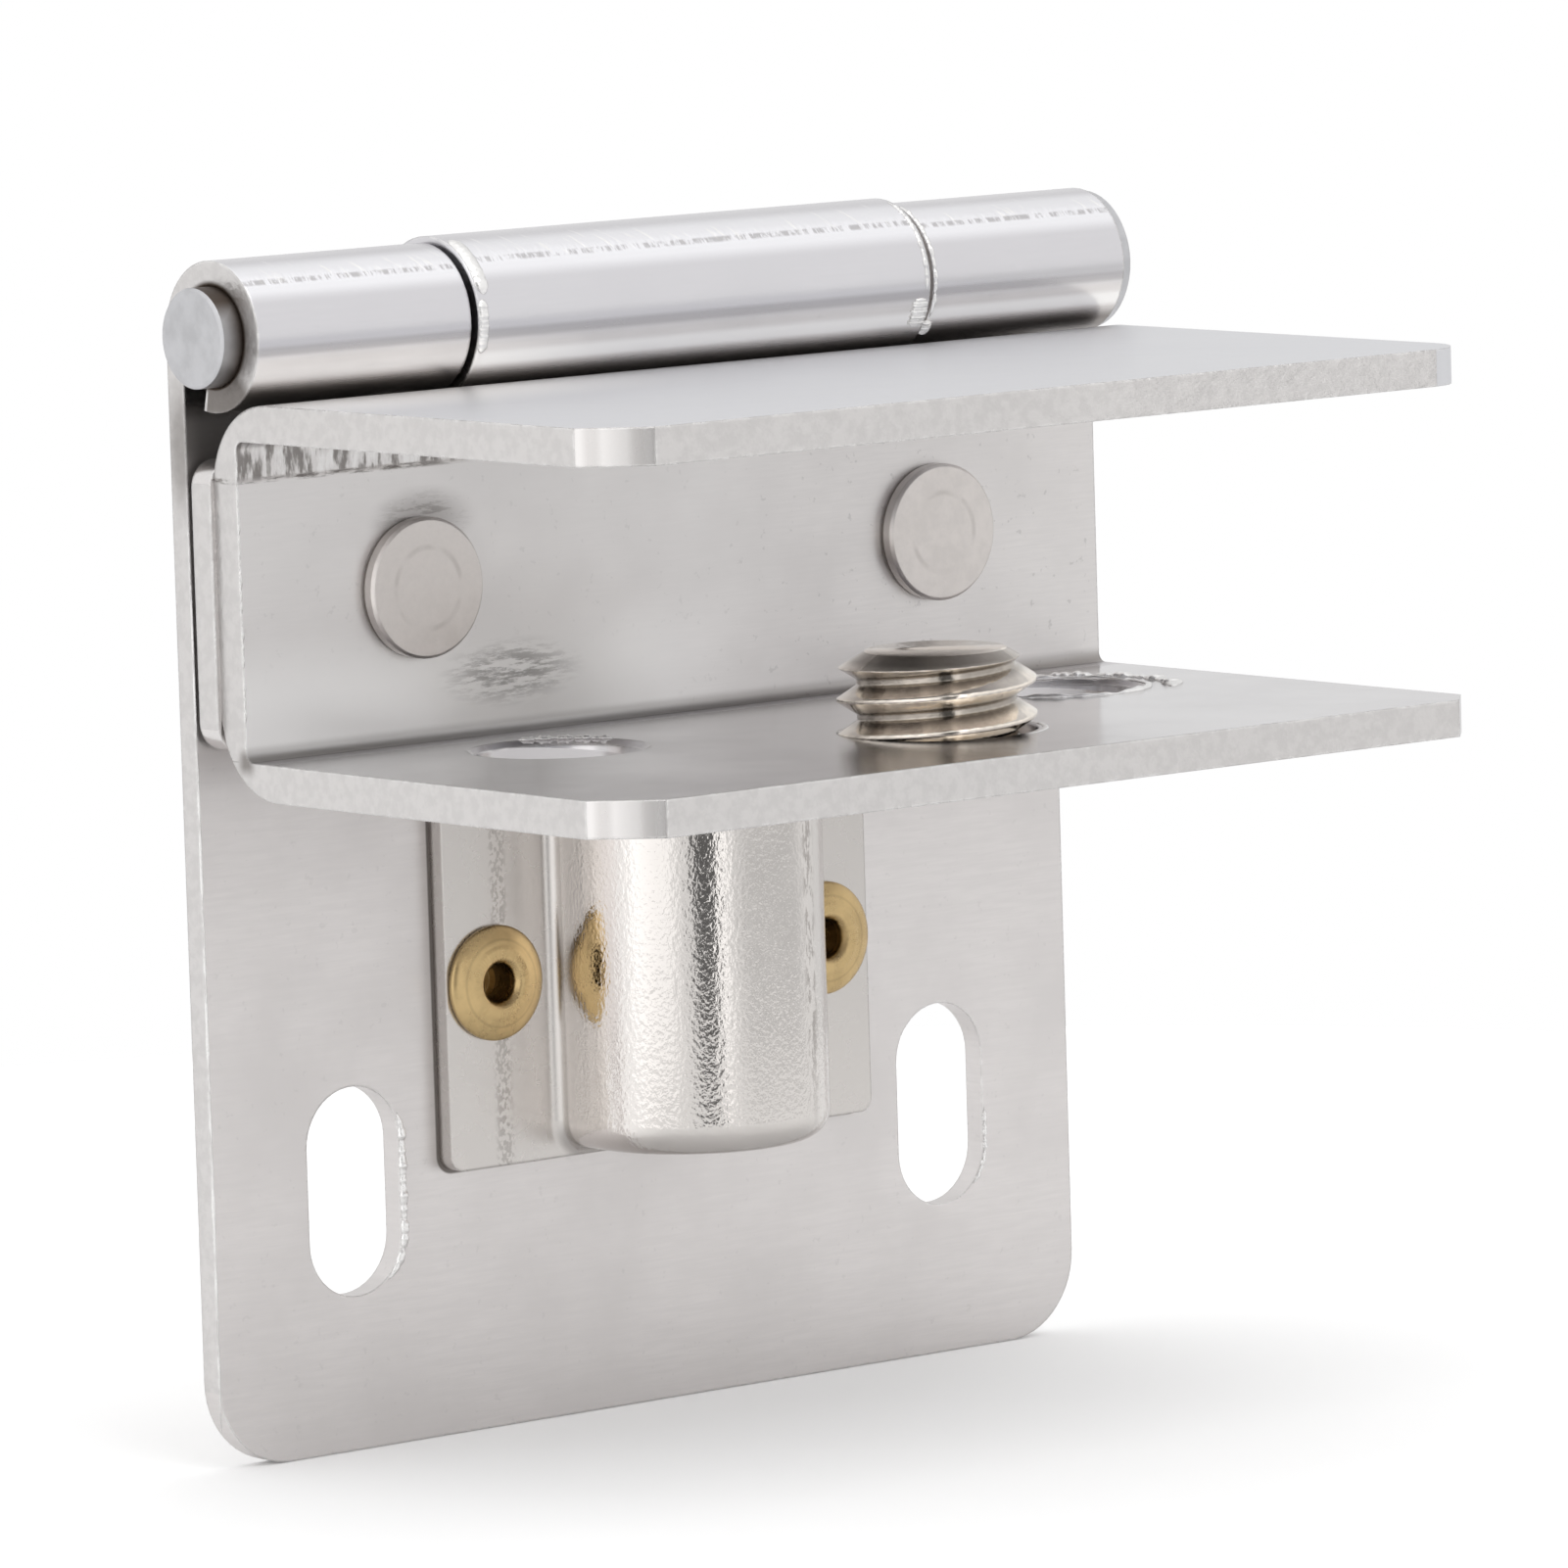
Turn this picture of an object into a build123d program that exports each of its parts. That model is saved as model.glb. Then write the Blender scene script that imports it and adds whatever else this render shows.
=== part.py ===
from build123d import *
import os

os.makedirs("parts", exist_ok=True)

# Hinge for an inset glass door, in millimetres, drawn with the door shut.
# X runs along the hinge pin, Y from the front to the back and Z upwards. The origin is
# on the back face of the base plate, midway across it and level with its screw slots.

# Base plate
plate_width = 45.2
plate_sheet = 1.0
foot_below_slots = 10.5
foot_corner = 3.5
slot_inset = 7.1
slot_width = 4.65
slot_height = 8.5

# Hinge pin, and the knuckles rolled round it
pin_radius = 2.0
pin_height = 35.0
pin_proud = 1.03
pin_end_chamfer = 0.12
pin_head_radius = 2.88
pin_head_thickness = 0.6
pin_head_chamfer = 0.15
pin_fit = 0.01
pin_running_gap = 0.06
curl_angle = 283.0
knuckle_split = 24.0
knuckle_end_gap = 0.22
notch_below_pin = 5.8

# Door leaf, which lies on the plate and joggles back through its notch
leaf_sheet = 1.2
leaf_gap = 0.3
leaf_top_below_pin = 4.95
leaf_height = 11.55
leaf_corner = 1.1
joggle_height = 2.0
joggle_below_pin = 5.4
joggle_bend = 1.2

# Glass clamp, a channel that the edge of the glass slides into
clamp_inset = 0.2
clamp_sheet = 1.5
clamp_depth = 25.0
clamp_height = 15.7
clamp_top_below_pin = 2.6
clamp_bend = 3.45
clamp_inner_corner = 0.4
left_corner_cut = 2.2
right_corner_round = 2.5
right_corner_cut = 1.4

# Rivets that join the clamp to the leaf
rivet_inset = 8.9
rivet_below_pin = 10.6
rivet_radius = 1.5
rivet_head_radius = 2.83
rivet_head_height = 0.63
rivet_head_edge = 0.12
rivet_tail = 0.6
rivet_clearance = 0.02

# Tapped holes in the lower flange, and the grub screw that grips the glass
thread_centre = 1.4
thread_pitch_x = 13.15
thread_minor_radius = 3.4
thread_mouth_chamfer = 0.25
side_hole_depth = 7.9
middle_hole_depth = 15.6
screw_radius = 4.0
screw_clearance = 0.03
screw_length = 5.0
screw_stand = 3.3
screw_tip_height = 0.75
screw_tip_width = 1.25
screw_end_chamfer = 0.5
socket_across_flats = 4.0
socket_depth = 3.0

# Pressed housing of the magnetic catch
housing_sheet = 0.8
housing_width = 22.2
housing_foot = 0.3
housing_gap = 0.4
housing_corner = 0.6
housing_flange = 5.6
nose_depth = 8.35
cup_lift = 0.3
cup_edge = 1.2
cup_root = 0.5

# Magnet in the housing
magnet_clearance = 0.1
magnet_foot_chamfer = 0.6

# Brass tubular rivets that hold the housing on the plate
tubular_inset = 2.45
tubular_height = 7.8
tubular_bore_radius = 1.0
tubular_bore_floor = 0.5
tubular_shank_radius = 1.5
tubular_flange_radius = 2.35
tubular_lip = 0.2
tubular_shoulder_radius = 2.05
tubular_shoulder_height = 0.48
tubular_crown_radius = 1.55
tubular_crown_height = 0.6
tubular_throat = 0.45
tubular_tail = 0.6
tubular_clearance = 0.02

# Widths that follow from the sizes above
clamp_width = plate_width - 2 * clamp_inset
slot_spacing = plate_width - 2 * slot_inset
rivet_spacing = clamp_width - 2 * rivet_inset
tubular_spacing = housing_width - 2 * tubular_inset
nose_radius = housing_width / 2 - housing_flange

# Heights and depths that follow from them
plate_roll = pin_radius + pin_fit + plate_sheet
leaf_roll = pin_radius + pin_running_gap + leaf_sheet
pin_depth = plate_roll
leaf_back = plate_sheet + leaf_gap
web_back = leaf_back + leaf_sheet
web_front = web_back + clamp_sheet
clamp_front = web_back + clamp_depth
clamp_top = pin_height - clamp_top_below_pin
clamp_foot = clamp_top - clamp_height
rivet_height = pin_height - rivet_below_pin
clamp_floor = clamp_foot + clamp_sheet
clamp_ceiling = clamp_top - clamp_sheet
housing_top = clamp_foot - housing_gap
housing_front = plate_sheet + housing_sheet

leaf_line = -leaf_back - leaf_sheet / 2
neck_line = leaf_roll - pin_depth - leaf_sheet / 2
joggle_foot = pin_height - joggle_below_pin
leaf_neck = knuckle_split - 2 * knuckle_end_gap
leaf_top = pin_height - leaf_top_below_pin
leaf_foot = leaf_top - leaf_height
nose_centre = plate_sheet + nose_depth - nose_radius
cup_foot = housing_foot + cup_lift

# Hole patterns: rivets as seen from behind, tapped holes as seen from above
rivet_places = [(side * rivet_spacing / 2, rivet_height) for side in (-1, 1)]
tubular_places = [(side * tubular_spacing / 2, tubular_height) for side in (-1, 1)]
side_holes = [(thread_centre + side * thread_pitch_x, -web_back - side_hole_depth) for side in (-1, 1)]
middle_hole = (thread_centre, -web_back - middle_hole_depth)

# Margin for picking edges by their place
hair = 0.001

# Looking out of the base plate's back face
back_view = Plane(origin=(0, 0, 0), x_dir=(-1, 0, 0), z_dir=(0, 1, 0))


# Base plate: one sheet, rolled forward over the pin, with the middle knuckle's place cut away
with BuildPart() as base_plate:
    with BuildSketch(Plane.YZ):
        with BuildLine():
            Line((-plate_sheet / 2, -foot_below_slots), (-plate_sheet / 2, pin_height))
            CenterArc((-pin_depth, pin_height), plate_roll - plate_sheet / 2, 0, curl_angle)
        trace(line_width=plate_sheet)
    extrude(amount=plate_width / 2, both=True)
    with BuildSketch(Plane.XZ.offset(-plate_sheet)):
        with Locations((0, pin_height - notch_below_pin)):
            Rectangle(knuckle_split, notch_below_pin + 2 * plate_roll, align=(Align.CENTER, Align.MIN))
    extrude(amount=3 * plate_roll, mode=Mode.SUBTRACT)
    fillet(base_plate.edges().filter_by(Axis.Y).group_by(Axis.Z)[0], foot_corner)
    with BuildSketch(Plane.XZ):
        with GridLocations(slot_spacing, 0, 2, 1):
            SlotOverall(slot_height, slot_width, rotation=90)
    extrude(amount=plate_sheet, mode=Mode.SUBTRACT)
    with Locations(back_view):
        with Locations(*tubular_places):
            tubular_fit = tubular_shank_radius + tubular_clearance
            Hole(tubular_fit, depth=plate_sheet)
    tail_mouths = base_plate.edges().filter_by(GeomType.CIRCLE).group_by(Axis.Y)[-1]
    tail_mouths = tail_mouths.filter_by(lambda edge: abs(edge.radius - tubular_fit) < tubular_clearance)
    chamfer(tail_mouths, tubular_tail)
base_plate.part.label = "base_plate"


# Hinge pin: flat at the left, with a low head seated on the right knuckle
with BuildPart() as hinge_pin:
    with BuildSketch(Plane.YZ.offset(-plate_width / 2 - pin_proud)):
        with Locations((-pin_depth, pin_height)):
            Circle(pin_radius)
    extrude(amount=plate_width + pin_proud)
    with BuildSketch(Plane.YZ.offset(plate_width / 2)):
        with Locations((-pin_depth, pin_height)):
            Circle(pin_head_radius)
    extrude(amount=pin_head_thickness)
    chamfer(hinge_pin.edges().filter_by(GeomType.CIRCLE).sort_by(Axis.X)[0], pin_end_chamfer)
    chamfer(hinge_pin.edges().filter_by(GeomType.CIRCLE).sort_by(Axis.X)[-1], pin_head_chamfer)
hinge_pin.part.label = "hinge_pin"


# Door leaf: a flat strip behind the clamp, and a narrower neck rolled round the pin
with BuildPart() as hinge_leaf:
    with BuildSketch(Plane.YZ):
        with BuildLine():
            FilletPolyline(
                (leaf_line, leaf_foot),
                (leaf_line, joggle_foot),
                (neck_line, joggle_foot + joggle_height),
                (neck_line, pin_height),
                radius=joggle_bend,
            )
            CenterArc((-pin_depth, pin_height), leaf_roll - leaf_sheet / 2, 0, curl_angle)
        trace(line_width=leaf_sheet)
    extrude(amount=leaf_neck / 2, both=True)
    with BuildSketch(Plane.XZ.offset(leaf_back)):
        with Locations((0, leaf_top - leaf_height / 2)):
            RectangleRounded(plate_width, leaf_height, leaf_corner)
    extrude(amount=leaf_sheet)
    with Locations(back_view.offset(-leaf_back)):
        with Locations(*rivet_places):
            rivet_fit = rivet_radius + rivet_clearance
            Hole(rivet_fit, depth=leaf_sheet)
    tail_mouths = hinge_leaf.edges().filter_by(GeomType.CIRCLE)
    tail_mouths = tail_mouths.filter_by(lambda edge: abs(edge.radius - rivet_fit) < rivet_clearance)
    tail_mouths = tail_mouths.group_by(Axis.Y)[-1]
    chamfer(tail_mouths, rivet_tail)
hinge_leaf.part.label = "hinge_leaf"


# Glass clamp: a channel open to the front, coined sharp inside its bends, with cropped corners
with BuildPart() as glass_clamp:
    with BuildSketch(Plane.YZ):
        with BuildLine():
            outer = FilletPolyline(
                (-clamp_front, clamp_foot),
                (-web_back, clamp_foot),
                (-web_back, clamp_top),
                (-clamp_front, clamp_top),
                radius=clamp_bend,
            )
            inner = FilletPolyline(
                (-clamp_front, clamp_floor),
                (-web_front, clamp_floor),
                (-web_front, clamp_ceiling),
                (-clamp_front, clamp_ceiling),
                radius=clamp_inner_corner,
            )
            Line(outer @ 0, inner @ 0)
            Line(outer @ 1, inner @ 1)
        make_face()
    extrude(amount=clamp_width / 2, both=True)
    corners = glass_clamp.edges().filter_by(Axis.Z).group_by(Axis.Y)[0].sort_by(Axis.X)
    left_corners = corners[:2]
    lower_right, upper_right = corners[2:].sort_by(Axis.Z)
    chamfer(left_corners, left_corner_cut)
    chamfer(lower_right, right_corner_cut)
    fillet(upper_right, right_corner_round)
    with Locations(back_view.offset(-web_back)):
        with Locations(*rivet_places):
            Hole(rivet_fit, depth=clamp_sheet)
    with Locations(*[(x, y, clamp_floor) for x, y in side_holes]):
        Hole(thread_minor_radius, depth=clamp_sheet)
    with Locations((*middle_hole, clamp_floor)):
        Hole(screw_radius + screw_clearance, depth=clamp_sheet)
    mouths = glass_clamp.edges().filter_by(GeomType.CIRCLE)
    mouths = mouths.filter_by(lambda edge: abs(edge.radius - thread_minor_radius) < screw_clearance)
    chamfer(mouths, thread_mouth_chamfer)
glass_clamp.part.label = "glass_clamp"


def revolved_rivet(x):
    """A rivet through the web and the leaf: a flat head in front, a sunk tail behind."""
    with BuildPart() as rivet:
        with BuildSketch(Plane.XY.offset(rivet_height)):
            with BuildLine():
                Polyline(
                    (x, -leaf_back),
                    (x + rivet_radius + rivet_tail, -leaf_back),
                    (x + rivet_radius, -leaf_back - rivet_tail),
                    (x + rivet_radius, -web_front),
                    (x + rivet_head_radius, -web_front),
                    (x + rivet_head_radius, -web_front - rivet_head_height),
                    (x, -web_front - rivet_head_height),
                    close=True,
                )
            make_face()
        revolve(axis=Axis((x, 0, rivet_height), (0, 1, 0)))
        chamfer(rivet.edges().filter_by(GeomType.CIRCLE).sort_by(Axis.Y)[0], rivet_head_edge)
    return rivet.part


# Grub screw: a cone-edged tip above the flange and a hexagon socket in its lower end
with BuildPart() as set_screw:
    with BuildSketch(Plane.XY.offset(clamp_floor + screw_stand - screw_length)):
        with Locations(middle_hole):
            Circle(screw_radius)
    extrude(amount=screw_length)
    chamfer(set_screw.edges().sort_by(Axis.Z)[0], screw_end_chamfer)
    chamfer(set_screw.edges().sort_by(Axis.Z)[-1], length=screw_tip_height, length2=screw_tip_width)
    with BuildSketch(set_screw.faces().sort_by(Axis.Z)[0]):
        RegularPolygon(socket_across_flats / 2, 6, major_radius=False)
    extrude(amount=-socket_depth, mode=Mode.SUBTRACT)
set_screw.part.label = "set_screw"


def cup_block(inset):
    """Block with straight sides and a half-round nose, standing inside the housing's skin."""
    radius = nose_radius - inset
    with BuildPart() as block:
        with BuildSketch(Plane.XY.offset(cup_foot + inset)):
            with BuildLine():
                left_side = Line((-radius, -plate_sheet), (-radius, -nose_centre))
                CenterArc((0, -nose_centre), radius, 180, 180)
                right_side = Line((radius, -nose_centre), (radius, -plate_sheet))
                Line(right_side @ 1, left_side @ 0)
            make_face()
        extrude(amount=housing_top - cup_foot - inset)
    return block.part


def foot_rim(block):
    """Edges round the foot of a cup block, without the one against the plate."""
    return block.edges().group_by(Axis.Z)[0] - block.faces().sort_by(Axis.Y)[-1].edges()


# Catch housing: a cup pressed out of a flat strip, open at the top and towards the plate
with BuildPart() as catch_housing:
    outside = cup_block(0)
    add(outside.fillet(cup_edge, foot_rim(outside)))
    with BuildSketch(Plane.XZ.offset(plate_sheet)):
        with Locations((0, housing_foot)):
            Rectangle(housing_width, housing_top - housing_foot, align=(Align.CENTER, Align.MIN))
        fillet(vertices().group_by(Axis.Z)[0], housing_corner)
    extrude(amount=housing_sheet)
    root = catch_housing.edges().filter_by_position(Axis.Y, -housing_front - hair, -housing_front + hair)
    root = root.filter_by_position(Axis.X, -nose_radius - hair, nose_radius + hair)
    root = root.filter_by_position(Axis.Z, housing_foot + hair, housing_top - hair)
    fillet(root, cup_root)
    inside = cup_block(housing_sheet)
    add(inside.chamfer(cup_edge - housing_sheet, None, foot_rim(inside)), mode=Mode.SUBTRACT)
    with Locations(back_view):
        with Locations(*tubular_places):
            Hole(tubular_fit)
catch_housing.part.label = "catch_housing"


# Magnet: fills the housing's cavity and ends level with its mouth, under the door's steel flange
with BuildPart() as catch_magnet:
    add(cup_block(housing_sheet + magnet_clearance))
    chamfer(foot_rim(catch_magnet.part), magnet_foot_chamfer)
catch_magnet.part.label = "catch_magnet"


def tubular_rivet(x):
    """A brass rivet with a blind bore: a rolled, dished flange in front and a sunk tail behind."""
    crown = -housing_front - tubular_crown_height
    with BuildPart() as rivet:
        with BuildSketch(Plane.XY.offset(tubular_height)):
            with BuildLine():
                Polyline(
                    (x, 0),
                    (x + tubular_shank_radius + tubular_tail, 0),
                    (x + tubular_shank_radius, -tubular_tail),
                    (x + tubular_shank_radius, -housing_front),
                    (x + tubular_flange_radius, -housing_front),
                    (x + tubular_flange_radius, -housing_front - tubular_lip),
                    (x + tubular_shoulder_radius, -housing_front - tubular_shoulder_height),
                    (x + tubular_crown_radius, crown),
                    (x + tubular_bore_radius, crown + tubular_throat),
                    (x + tubular_bore_radius, -tubular_bore_floor),
                    (x, -tubular_bore_floor),
                    close=True,
                )
            make_face()
        revolve(axis=Axis((x, 0, tubular_height), (0, 1, 0)))
    return rivet.part


pieces = [base_plate.part, hinge_pin.part, hinge_leaf.part, glass_clamp.part, set_screw.part]
pieces += [catch_housing.part, catch_magnet.part]
for side, sign in (("left", -1), ("right", 1)):
    rivet = revolved_rivet(sign * rivet_spacing / 2)
    rivet.label = f"clamp_rivet_{side}"
    tubular = tubular_rivet(sign * tubular_spacing / 2)
    tubular.label = f"housing_rivet_{side}"
    pieces += [rivet, tubular]

for piece in pieces:
    export_step(piece, f"parts/{piece.label}.step")
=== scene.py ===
import math
import bmesh
import bpy
import numpy as np
from mathutils import Matrix, Vector


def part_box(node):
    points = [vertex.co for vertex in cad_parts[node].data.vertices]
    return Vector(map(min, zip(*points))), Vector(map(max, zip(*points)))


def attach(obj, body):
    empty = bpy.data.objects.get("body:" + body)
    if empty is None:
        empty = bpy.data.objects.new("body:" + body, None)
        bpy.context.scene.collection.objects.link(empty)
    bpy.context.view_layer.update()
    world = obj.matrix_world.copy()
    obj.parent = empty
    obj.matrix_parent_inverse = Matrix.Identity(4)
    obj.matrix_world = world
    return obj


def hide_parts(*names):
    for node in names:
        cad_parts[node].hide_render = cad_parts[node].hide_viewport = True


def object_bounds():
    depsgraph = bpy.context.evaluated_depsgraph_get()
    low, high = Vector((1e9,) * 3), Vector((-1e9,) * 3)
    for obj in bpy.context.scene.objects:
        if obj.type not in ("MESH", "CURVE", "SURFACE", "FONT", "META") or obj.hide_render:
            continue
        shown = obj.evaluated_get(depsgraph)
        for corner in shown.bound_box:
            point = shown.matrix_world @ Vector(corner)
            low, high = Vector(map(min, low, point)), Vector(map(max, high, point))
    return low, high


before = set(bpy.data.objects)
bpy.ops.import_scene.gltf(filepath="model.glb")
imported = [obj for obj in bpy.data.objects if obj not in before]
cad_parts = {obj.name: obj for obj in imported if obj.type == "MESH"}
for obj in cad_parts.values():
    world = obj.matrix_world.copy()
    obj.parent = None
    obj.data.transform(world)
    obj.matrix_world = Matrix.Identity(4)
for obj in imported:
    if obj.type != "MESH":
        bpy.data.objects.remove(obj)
frame_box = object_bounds()

# Looks of a nickel-plated hinge for a glass door, in metres and in the frame of the solids:
# X along the pin, Y towards the back, Z up.

# Camera, at the photograph's viewing angle in degrees. It aims beside a point on the hinge, moved
# right and up in the picture. Its focal length is in the photograph's pixels.
camera_azimuth = -39.637
camera_elevation = 6.586
camera_roll = -1.727
camera_distance = 0.466386
camera_aim = (0.006415, -0.019877)
aim_origin = (0, -0.001, 0.035)
focal_pixels = 11706.4
photo_pixels = 1601
sensor_width = 36.0
nearest_seen = 0.01
farthest_seen = 50

# Floor: a white paper disc under the hinge
floor_radius = 0.11
floor_gap = 0.00002
floor_glow = 0.12
paper_white = (0.90, 0.90, 0.90)
paper_fibre = (0.92, 0.92, 0.92)

# Lamp high in front of the hinge
lamp_place = (0.0, -0.25, 0.55)
lamp_target = (0, 0, 0.02)
lamp_size = 0.35
lamp_power = 0.5

# White tent round the hinge. A panel is a band of bearings, counted from straight in front towards
# the right: its middle, half width and soft edge in degrees, and what it adds to the tent's level.
tent_level = 0.97
tent_panels = {
    "lamp at the left": (-72, 14, 12, 0.45),
    "gap behind the camera": (-26, 7, 6, -0.82),
    "slit beside the camera": (-11, 3, 4, 0.55),
    "back wall": (150, 50, 20, -0.12),
}

# Elevations in the tent, in degrees: the gap's foot, its top and its soft edge; where the light
# overhead begins and where it is full; and the table's edge, a panel that lies level
gap_height = (-45, 32, 10)
overhead_rise = (42, 58)
overhead_level = 1.12
table_edge = (-9.5, 2.5, 5, -0.25)
table_edge_bearings = (38, 26, 14)

# Grub screw: coarse thread, cone-edged tip and hexagon socket
thread_pitch = 0.00141
thread_depth = 0.00080
thread_crest_share = 0.10
thread_root_share = 0.16
thread_start = 0.25
tip_radius = 0.00275
tip_height = 0.00075
end_chamfer = 0.0005
socket_across_flats = 0.004
socket_depth = 0.003

# Pressed housing: where its cup meets the flanges and how softly, the radius of the flanges' corners,
# the two streaks' places along X, the foot of the cup's streak, and where the painted highlight on the
# cup's left flank begins and is full
cup_root = -0.0024
root_width = 0.0002
flange_corner = 0.0006
flange_streak = -0.0083
cup_streak = 0.0021
streak_foot = -0.0005
flank_edge = (-0.0042, -0.0057)

# Brass rivets of the housing, with heights from the plate's back
flange_front = 0.0018
rivet_rim_height = 0.0002
rivet_lip_radius = 0.00112
rivet_bore_radius = 0.00078
rivet_lip_depth = 0.0004
rivet_bore_floor = 0.0005
rivet_shank_radius = 0.0015
rivet_tail = 0.0006
crown_flatness = 1.6
crown_steepness = 0.7

# Places and sizes on the solids that finishes and burrs refer to. A hair tells one face from the next.
hair = 0.00002
plate_sheet = 0.001
clamp_sheet = 0.0015
bend_reach = 0.0006
clamp_rivet_head = 0.00063
pin_radius = 0.002
tapped_radius = 0.0034
tapped_spacing = 0.01315
tapped_back = 0.0104
cropped_corner = 0.0022
slot_width = 0.00465
slot_height = 0.0085
slot_spacing = 0.031
seam_place = 0.01172

# A tenth of a millimetre behind the plate's front face
plate_skin = 0.0001 - plate_sheet

# Grains, in cells of noise to the metre along X, Y and Z, or the same all ways
plate_brushing = (500, 500, 6000)
leaf_brushing = (400, 9000, 9000)
clamp_brushing = (500, 7000, 7000)
sheet_clouds = 140
sheet_pits = 2600
sheared_grain = 2200
nick_cells = (3800, 900, 900)
smear_cells = (700, 900, 4200)
crumple_cells = (2300, 1200, 620)
fracture_cells = (1300, 1300, 2200)
peel_cells = (6000, 6000, 4400)
streak_cells = (3000, 3000, 1100)

# Radius over which the shading rounds an edge
sheet_edge = 0.00016
pressed_edge = 0.00014
small_edge = 0.00008
brass_edge = 0.00006

# Marks round the knuckles, as bands: middle, half width and soft edge in degrees, then the dull
# line's strength. The low highlight line and the lit top are painted highlights. The angle is 0
# straight in front and 90 at the top. The painted shade low in front, under the knuckles, starts at
# one angle, is full at the next and ends at the back of the curl.
nick_line = (46, 1.2, 2.5)
nick_ground = (48, 3.0, 7.0)
dull_line = (-10, 1.5, 4.0, 0.26)
low_highlight_line = (-29, 2.5, 6)
scratched_top = (58, 9, 8)
highlight_top = (50, 12, 12)
shade_starts = -33
shade_is_full = -50
curl_back = -100

# Crumpled strip high on the channel's web: how far under the ceiling it starts and is full, and where
# along X it does
strip_edge = (0.0017, 0.0014)
strip_reach = (-0.0070, -0.0120)

# Roughness of the metal, from least to most on the brass
plate_roughness = 0.40
knuckle_roughness = 0.22
leaf_roughness = 0.21
sheared_roughness = 0.38
rubbed_roughness = 0.2
web_roughness = 0.38
upper_flange_roughness = 0.42
lower_flange_roughness = 0.15
crop_roughness = 0.24
flange_roughness = 0.27
cup_roughness = 0.09
brass_roughness = (0.24, 0.34)

# Depth of the reliefs in metres, and the cropped corners' bulge in metres to a square metre
brushed_depth = 0.0000012
torn_depth = 0.00004
nick_depth = 0.00002
tapped_depth = 0.0006
wrinkle_depth = 0.0001
fracture_depth = 0.0002
peel_depth = 0.000018
crop_bulge = -45.0

# Colours as the metal reflects them
nickel = (0.75, 0.725, 0.715)
plate_tint = (0.725, 0.697, 0.687)
knuckle_tint = (0.67, 0.665, 0.70)
# Painted highlight on the knuckles' top
knuckle_top_highlight = (0.87, 0.865, 0.89)
upper_flange_tint = (0.69, 0.70, 0.73)
lower_flange_tint = (0.56, 0.545, 0.56)
# Painted light: the web paler towards the left
web_painted_light = (0.86, 0.84, 0.83)
pressed_tint = (0.66, 0.63, 0.605)
# Painted highlight on the cup's left flank
flank_highlight_tint = (0.93, 0.89, 0.86)
clamp_rivet_tint = (0.70, 0.66, 0.635)
# Bright scratches, and painted highlights on the knuckles and the channel
scratch_and_highlight_nickel = (0.96, 0.95, 0.94)
sheared_nickel = (0.70, 0.68, 0.67)
crop_nickel = (0.69, 0.67, 0.66)
rubbed_nickel = (0.88, 0.87, 0.86)
# Dark brown for soiling, and for painted shade in gaps, corners and under edges
grime_and_shade = (0.07, 0.05, 0.036)
brass = (0.56, 0.41, 0.205)
torn_tint = (0.86, 0.85, 0.84)
pin_tint = (0.56, 0.56, 0.575)
screw_tint = (0.92, 0.85, 0.76)
ferrite_tint = (0.06, 0.06, 0.065)


def camera_frame():
    """Right, up and back directions of the camera: a turn, a tilt and a small roll."""
    turn = math.radians(camera_azimuth)
    tilt = math.radians(camera_elevation)
    roll = math.radians(camera_roll)
    back = Vector((math.sin(turn) * math.cos(tilt), -math.cos(turn) * math.cos(tilt), math.sin(tilt)))
    level = Vector((math.cos(turn), math.sin(turn), 0))
    upright = back.cross(level)
    right = level * math.cos(roll) + upright * math.sin(roll)
    up = upright * math.cos(roll) - level * math.sin(roll)
    return right, up, back


def set_camera():
    """Camera that looks at the hinge from its left front, a little above it."""
    right, up, back = camera_frame()
    place = Vector(aim_origin) + right * camera_aim[0] + up * camera_aim[1] + back * camera_distance
    data = bpy.data.cameras.new("camera")
    data.sensor_width = sensor_width
    data.lens = focal_pixels / photo_pixels * sensor_width
    data.clip_start = nearest_seen
    data.clip_end = farthest_seen
    camera = bpy.data.objects.new("camera", data)
    rows = Matrix((right, up, back)).transposed().to_4x4()
    rows.translation = place
    camera.matrix_world = rows
    bpy.context.collection.objects.link(camera)
    bpy.context.scene.camera = camera


def add_node(tree, kind, inputs=None, **settings):
    """Adds a shader node. Its inputs are values, or sockets of other nodes to link from."""
    made = tree.nodes.new(kind)
    for name, value in settings.items():
        setattr(made, name, value)
    for name, value in (inputs or {}).items():
        if isinstance(value, bpy.types.NodeSocket):
            tree.links.new(value, made.inputs[name])
        else:
            made.inputs[name].default_value = value
    return made


def maths(tree, operation, first, second=0.0, third=0.0):
    """Result of one sum on numbers or sockets."""
    return add_node(tree, "ShaderNodeMath", {0: first, 1: second, 2: third}, operation=operation).outputs[0]


def ramp(tree, value, low, high, to_low=0.0, to_high=1.0):
    """Takes a value from one range to another with an eased rise."""
    inputs = {"Value": value, "From Min": low, "From Max": high, "To Min": to_low, "To Max": to_high}
    return add_node(tree, "ShaderNodeMapRange", inputs, interpolation_type="SMOOTHSTEP").outputs["Result"]


def between(tree, share, first, second):
    """Value between two others, first at share 0 and second at share 1."""
    gap = maths(tree, "SUBTRACT", second, first)
    return maths(tree, "MULTIPLY_ADD", share, gap, first)


def band(tree, value, middle, half, edge, height=1.0):
    """Height inside middle plus or minus half, easing to nothing over the edge."""
    apart = maths(tree, "ABSOLUTE", maths(tree, "SUBTRACT", value, middle))
    return ramp(tree, apart, half, half + edge, height, 0.0)


def greater(tree, value, limit):
    """1 where a value is over a limit."""
    return maths(tree, "GREATER_THAN", value, limit)


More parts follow.
